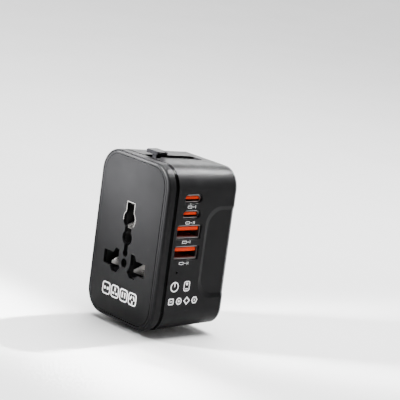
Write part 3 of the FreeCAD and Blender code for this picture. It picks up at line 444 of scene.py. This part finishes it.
def add_mark(mesh, outline, hole, to_space, low, high):
    """Extrude one outline, with or without a hole, between two heights over the surface."""

    def loop(points, height):
        return [mesh.verts.new(to_space(x * MM, y * MM, height)) for x, y in points]

    count = len(outline)
    outer_low = loop(outline, low)
    outer_high = loop(outline, high)
    for step in range(count):
        after = (step + 1) % count
        mesh.faces.new((outer_low[step], outer_low[after], outer_high[after], outer_high[step]))
    if hole is None:
        mesh.faces.new(outer_high)
        mesh.faces.new(list(reversed(outer_low)))
        return
    inner_low = loop(hole, low)
    inner_high = loop(hole, high)
    for step in range(count):
        after = (step + 1) % count
        mesh.faces.new((inner_high[step], inner_high[after], inner_low[after], inner_low[step]))
        mesh.faces.new((outer_high[step], outer_high[after], inner_high[after], inner_high[step]))
        mesh.faces.new((inner_low[step], inner_low[after], outer_low[after], outer_low[step]))


def make_piece(name, mesh, material, body):
    """Turn a bmesh into a piece that rides on a body."""
    bmesh.ops.recalc_face_normals(mesh, faces=mesh.faces)
    data = bpy.data.meshes.new(name)
    mesh.to_mesh(data)
    mesh.free()
    data.materials.append(material)
    piece = bpy.data.objects.new(name, data)
    bpy.context.scene.collection.objects.link(piece)
    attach(piece, body)


def marks(name, shapes, plane, materials, slot, body="casing"):
    """Flat marks on a plane, which is an origin and three directions: across, up and out."""
    origin, across, up, out = plane
    mesh = bmesh.new()

    def to_space(x, y, height):
        return origin + across * x + up * y + out * height

    for outline, hole in shapes:
        add_mark(mesh, outline, hole, to_space, -PRINT_SINK * MM, PRINT_RISE * MM)
    make_piece(name, mesh, materials[slot], body)


FRONT_PLANE = (FRONT_MIDDLE, X, Z, -Y)
REAR_PLANE = (REAR_MIDDLE, -X, Z, Y)


def side_plane(side):
    """Origin, rearward direction and outward direction of a leaning side wall; 1 is the right one."""
    rearward = Vector((-side * math.sin(SIDE_LEAN), math.cos(SIDE_LEAN), 0))
    outward = Vector((side * math.cos(SIDE_LEAN), math.sin(SIDE_LEAN), 0))
    wall_front = Vector((side * SHELL_HIGH.x, WALL_FRONT_Y, MID_Z))
    return wall_front - rearward * (WALL_FRONT_Y - FRONT_Y), rearward, outward


def round_pin_icon(x, y, size):
    """Two round pins side by side."""
    return [disc(x + side * size * 0.19, y, size * 0.12) for side in (-1, 1)]


def flat_pin_icon(x, y, size):
    """Three flat pins."""
    low = [bar(x + side * size * 0.2, y - size * 0.15, size * 0.24, size * 0.15) for side in (-1, 1)]
    return low + [bar(x, y + size * 0.17, size * 0.15, size * 0.28)]


def upright_blade_icon(x, y, size):
    """Two upright blades."""
    return [bar(x + side * size * 0.16, y + size * 0.03, size * 0.13, size * 0.42) for side in (-1, 1)]


def slanted_blade_icon(x, y, size):
    """Two slanted blades and an upright one."""
    blades = []
    for side in (-1, 1):
        blades.append(bar(x + side * size * 0.19, y + size * 0.08, size * 0.13, size * 0.36, side * 30))
    return blades + [bar(x, y - size * 0.25, size * 0.13, size * 0.22)]


def dashes(x, y, length, height, seed):
    """Line of short strokes of uneven widths, like very small print."""
    shapes = []
    place = x
    step = 0
    while place < x + length:
        width = STROKE_MIN + STROKE_SPREAD * abs(math.sin(seed * 1.7 + step * 2.3))
        shapes.append(bar(place + width / 2, y, width, height))
        step += 1
        place += width + (STROKE_GAP if step % WORD_STROKES else WORD_GAP)
    return shapes


def front_marks(materials):
    """Row of framed plug pictograms on the lower part of the face plate."""
    row_x, row_y = ICON_ROW_AT
    icons = (round_pin_icon, flat_pin_icon, upright_blade_icon, slanted_blade_icon)
    shapes = []
    for place, icon in enumerate(icons):
        x = row_x + (place - 1.5) * ICON_PITCH
        shapes.append(frame_line(x, row_y, ICON_SIZE, ICON_SIZE, ICON_SIZE * 0.26, ICON_SIZE * 0.095))
        shapes += icon(x, row_y, ICON_SIZE)
    marks("front_pictograms", shapes, FRONT_PLANE, materials, "white_print")


def arc_points(start, stop, steps):
    """Points on the earth hole's circle between two angles."""
    turns = [start + (stop - start) * step / steps for step in range(steps + 1)]
    radius = EARTH_HOLE_R
    return [(radius * math.cos(turn), EARTH_HOLE_Z + radius * math.sin(turn)) for turn in turns]


def paint_hole_highlight(materials):
    """Painted highlight: a bright metal strip on the face plate, just around the upper part of the earth
    hole.
    """
    corner = math.acos(EARTH_SLOT_HALF_W / EARTH_HOLE_R)
    right_arc = arc_points(math.radians(-35), corner, 8)
    left_arc = arc_points(math.pi - corner, math.radians(190), 6)
    slot_top = [(EARTH_SLOT_HALF_W, EARTH_SLOT_TOP), (-EARTH_SLOT_HALF_W, EARTH_SLOT_TOP)]
    path = right_arc + slot_top + left_arc
    shapes = []
    for (x0, z0), (x1, z1) in zip(path, path[1:]):
        length = math.hypot(x1 - x0, z1 - z0)
        x = (x0 + x1) / 2 + (z1 - z0) / length * HIGHLIGHT_W / 2
        z = (z0 + z1) / 2 - (x1 - x0) / length * HIGHLIGHT_W / 2
        tilt = math.degrees(math.atan2(z1 - z0, x1 - x0))
        shapes.append(bar(x, z, length + 0.2, HIGHLIGHT_W, tilt))
    # The strip is a painted highlight on the hole's upper edge, drawn in bright metal
    marks("earth_hole_painted_highlight", shapes, FRONT_PLANE, materials, "nickel_pin")


def port_label(y, z, wide, count):
    """Outline of a port, a dash, and one bar for each port of that kind so far."""
    corner = 0.15 if wide else 0.54
    shapes = [frame_line(y - 2.0, z, 2.5, 1.15, corner, 0.15), bar(y + 0.1, z, 0.8, 0.17)]
    for place in range(count):
        shapes.append(bar(y + 1.2 + 0.7 * place, z, 0.17, 1.2))
    return shapes


def side_marks(materials):
    """Small marks under each port, and two rows of plain symbols, on the right side."""
    origin, rearward, outward = side_plane(1)
    shapes = []
    for place in range(2):
        shapes += port_label(*SMALL_MARKS[place], False, place + 1)
        shapes += port_label(*LARGE_MARKS[place], True, place + 1)
    y, z = ROUND_SYMBOL_AT
    shapes += [ring(y, z, 2.3, 0.5), bar(y, z + 0.9, 0.55, 1.7)]
    y, z = TALL_SYMBOL_AT
    shapes += [frame_line(y, z, 3.4, 4.6, 1.0, 0.42), disc(y, z + 1.0, 0.62), bar(y, z - 1.2, 1.5, 0.45)]
    square_y, ring_y, diamond_y, hexagon_y = (SYMBOL_ROW_Y + SYMBOL_PITCH * place for place in range(4))
    z = SYMBOL_ROW_Z
    shapes += [frame_line(square_y, z, 3.0, 2.9, 0.5, 0.5), bar(square_y, z, 1.0, 0.45)]
    shapes += [ring(ring_y, z, 1.6, 0.5), disc(ring_y, z, 0.5)]
    shapes.append((bar_points(diamond_y, z, 2.7, 2.7, 45), bar_points(diamond_y, z, 1.7, 1.7, 45)))
    shapes += [ring(hexagon_y, z, 1.75, 0.55, 6), bar(hexagon_y, z, 0.45, 1.0)]
    marks("port_marks", shapes, (origin, rearward, Z, outward), materials, "white_print")


def left_marks(materials):
    """Small print on the left side: a block along the length and three lines across it."""
    origin, rearward, outward = side_plane(-1)
    shapes = []
    for line in range(BLOCK_LINES):
        start = BLOCK_Z + BLOCK_STAGGER * abs(line - 4)
        length = BLOCK_LENGTH - BLOCK_SHORTENING * line
        shapes += dashes(start, BLOCK_Y + BLOCK_PITCH * line, length, BLOCK_PRINT_H, line + 1)
    marks("left_small_print", shapes, (origin, Z, rearward, outward), materials, "white_print")
    shapes = []
    for line in range(CROSS_LINES):
        height = CROSS_Z - CROSS_PITCH * line
        length = CROSS_LENGTH - CROSS_SHORTENING * line
        shapes += dashes(CROSS_Y, height, length, CROSS_PRINT_H, line + 9)
    marks("left_cross_print", shapes, (origin, rearward, Z, outward), materials, "white_print")


def rear_marks(materials):
    """Pictograms of the blades and of the flat pins, beside their openings."""
    shapes = []
    x, z = FLAT_PINS_AT
    for side in (-1, 1):
        shapes.append(bar(side * 1.1, SLANTED_BLADES_Z, 0.6, 2.1, side * 30))
        shapes.append(bar(side * 1.0, UPRIGHT_BLADES_Z, 0.6, 2.2))
        shapes.append(bar(x + side * 1.0, z - 0.7, 1.3, 0.7))
    shapes.append(bar(x, z + 1.2, 0.7, 1.4))
    marks("rear_pictograms", shapes, REAR_PLANE, materials, "dark_print")


def plug_marks(materials):
    """Framed round-pin pictogram on the flip plug's face."""
    shapes = [frame_line(0, PLUG_PICTOGRAM_Z, 15.4, 5.0, 0.9, 0.6)]
    for side in (-1, 1):
        shapes.append(disc(side * 1.9, PLUG_PICTOGRAM_Z, 1.05))
        shapes.append(bar(side * 5.2, PLUG_PICTOGRAM_Z, 2.4, 0.6))
    marks("plug_pictogram", shapes, REAR_PLANE, materials, "dark_print", body="eu_plug")


# Port contacts


def add_strips(mesh, face_x, ports, strips):
    """Row of flat strips on the tongue of each port."""
    count, spacing, width, rise, (deep, near) = strips
    for y_mid, z_mid in ports:
        for place in range(count):
            y = FRONT_Y + (y_mid + (place - (count - 1) / 2) * spacing) * MM
            z = MID_Z + (z_mid + rise) * MM
            x_limits = (face_x - deep * MM, face_x - near * MM)
            y_limits = (y - width / 2 * MM, y + width / 2 * MM)
            z_limits = (z - STRIP_BELOW * MM, z + STRIP_ABOVE * MM)
            add_box(mesh, x_limits, y_limits, z_limits)


def port_contacts(materials):
    """Gold strips under each large tongue and on each small tongue."""
    mesh = bmesh.new()
    add_strips(mesh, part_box("usb_a_tongues")[1].x, LARGE_PORTS, LARGE_STRIPS)
    add_strips(mesh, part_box("usb_c_tongues")[1].x, SMALL_PORTS, SMALL_STRIPS)
    make_piece("port_contact_strips", mesh, materials["gold_plate"], "casing")


def add_box(mesh, x, y, z):
    """Closed block between two limits along each axis."""
    corners = [mesh.verts.new((a, b, c)) for a in x for b in y for c in z]
    for face in ((0, 1, 3, 2), (4, 6, 7, 5), (0, 4, 5, 1), (2, 3, 7, 6), (0, 2, 6, 4), (1, 5, 7, 3)):
        mesh.faces.new([corners[place] for place in face])


# Studio


def make_floor():
    """Plain pale floor at the object's foot, with a broad curve up behind it."""
    profile = [(FLOOR_FRONT_Y, 0.0), (FLOOR_BEND_Y, 0.0)]
    for step in range(1, BEND_STEPS + 1):
        turn = math.pi / 2 * step / BEND_STEPS
        bend_y = FLOOR_BEND_Y + FLOOR_BEND_R * math.sin(turn)
        profile.append((bend_y, FLOOR_BEND_R - FLOOR_BEND_R * math.cos(turn)))
    profile.append((FLOOR_BEND_Y + FLOOR_BEND_R, FLOOR_WALL_TOP))
    foot = cad_box[0][2]
    mesh = bmesh.new()
    rows = []
    for y, z in profile:
        rows.append([mesh.verts.new((x, y, foot + z)) for x in (-FLOOR_HALF_W, FLOOR_HALF_W)])
    for (a, b), (c, d) in zip(rows, rows[1:]):
        mesh.faces.new((a, b, d, c))
    data = bpy.data.meshes.new("floor")
    mesh.to_mesh(data)
    mesh.free()
    material, tree, shader = new_material("floor_paper")
    tone = blend_colors(tree, noise(tree, 12, detail=4), (0.90, 0.90, 0.90), (0.93, 0.93, 0.93))
    tree.links.new(tone, shader.inputs["Base Color"])
    set_shader(shader, roughness=0.7)
    data.materials.append(material)
    floor = bpy.data.objects.new("floor", data)
    bpy.context.scene.collection.objects.link(floor)


def aim_light(name, data, place, target):
    """Put a light in the scene, shining from place towards target."""
    light = bpy.data.objects.new(name, data)
    light.location = place
    light.rotation_euler = (Vector(target) - Vector(place)).to_track_quat("-Z", "Y").to_euler()
    bpy.context.scene.collection.objects.link(light)


def area_light(name, place, target, size, power, spread=180):
    """Rectangular lamp: its size is in metres, and the spread of its beam in degrees."""
    data = bpy.data.lights.new(name, "AREA")
    data.shape = "RECTANGLE"
    data.size, data.size_y = size
    data.energy = power
    data.spread = math.radians(spread)
    aim_light(name, data, place, target)


def make_lights():
    """White surroundings, a broad sky, and lamps over, behind and in front of the object."""
    world = bpy.data.worlds.new("studio")
    world.use_nodes = True
    background = world.node_tree.nodes["Background"]
    background.inputs["Color"].default_value = (1, 1, 1, 1)
    background.inputs["Strength"].default_value = 0.35
    bpy.context.scene.world = world
    sky = bpy.data.lights.new("broad_sky", "SUN")
    sky.energy = 5.0
    sky.angle = math.radians(50)
    aim_light("broad_sky", sky, (0, 0.1, 1.0), (0, 0, 0))
    middle = (0, 0, MID_Z)
    plate_top = (-0.005, -0.02, MID_Z + 0.028)
    casing_top = (0, 0, MID_Z + 0.036)
    area_light("overhead", (-0.05, 0.20, 0.70), middle, (0.6, 0.6), 12.0)
    area_light("front_left", (-0.06, -0.12, MID_Z + 0.08), plate_top, (0.05, 0.03), 0.36, 36)
    area_light("rear_left", (-0.30, 0.27, MID_Z + 0.155), casing_top, (0.26, 0.12), 0.026, 24)
    area_light("rear_strip", (0, 0.36, MID_Z + 0.46), (0, 0, MID_Z + 0.03), (0.20, 0.02), 0.18, 6)


def make_camera():
    """View from the front right, a little above, with the rolled horizon of a product shot."""
    data = bpy.data.cameras.new("camera")
    data.sensor_width = 36.0
    data.lens = CAMERA_LENS
    data.clip_start = 0.01
    data.clip_end = 20.0
    camera = bpy.data.objects.new("camera", data)
    forward = Vector(CAMERA_FORWARD).normalized()
    right = forward.cross(Vector(CAMERA_UP_HINT)).normalized()
    up = right.cross(forward)
    turn = Matrix((right, up, -forward)).transposed().to_4x4()
    camera.matrix_world = Matrix.Translation(Vector(CAMERA_AT)) @ turn
    bpy.context.scene.collection.objects.link(camera)
    bpy.context.scene.camera = camera


materials = make_materials()
dress_nodes(materials)
front_marks(materials)
paint_hole_highlight(materials)
side_marks(materials)
left_marks(materials)
rear_marks(materials)
plug_marks(materials)
port_contacts(materials)
make_floor()
make_lights()
make_camera()
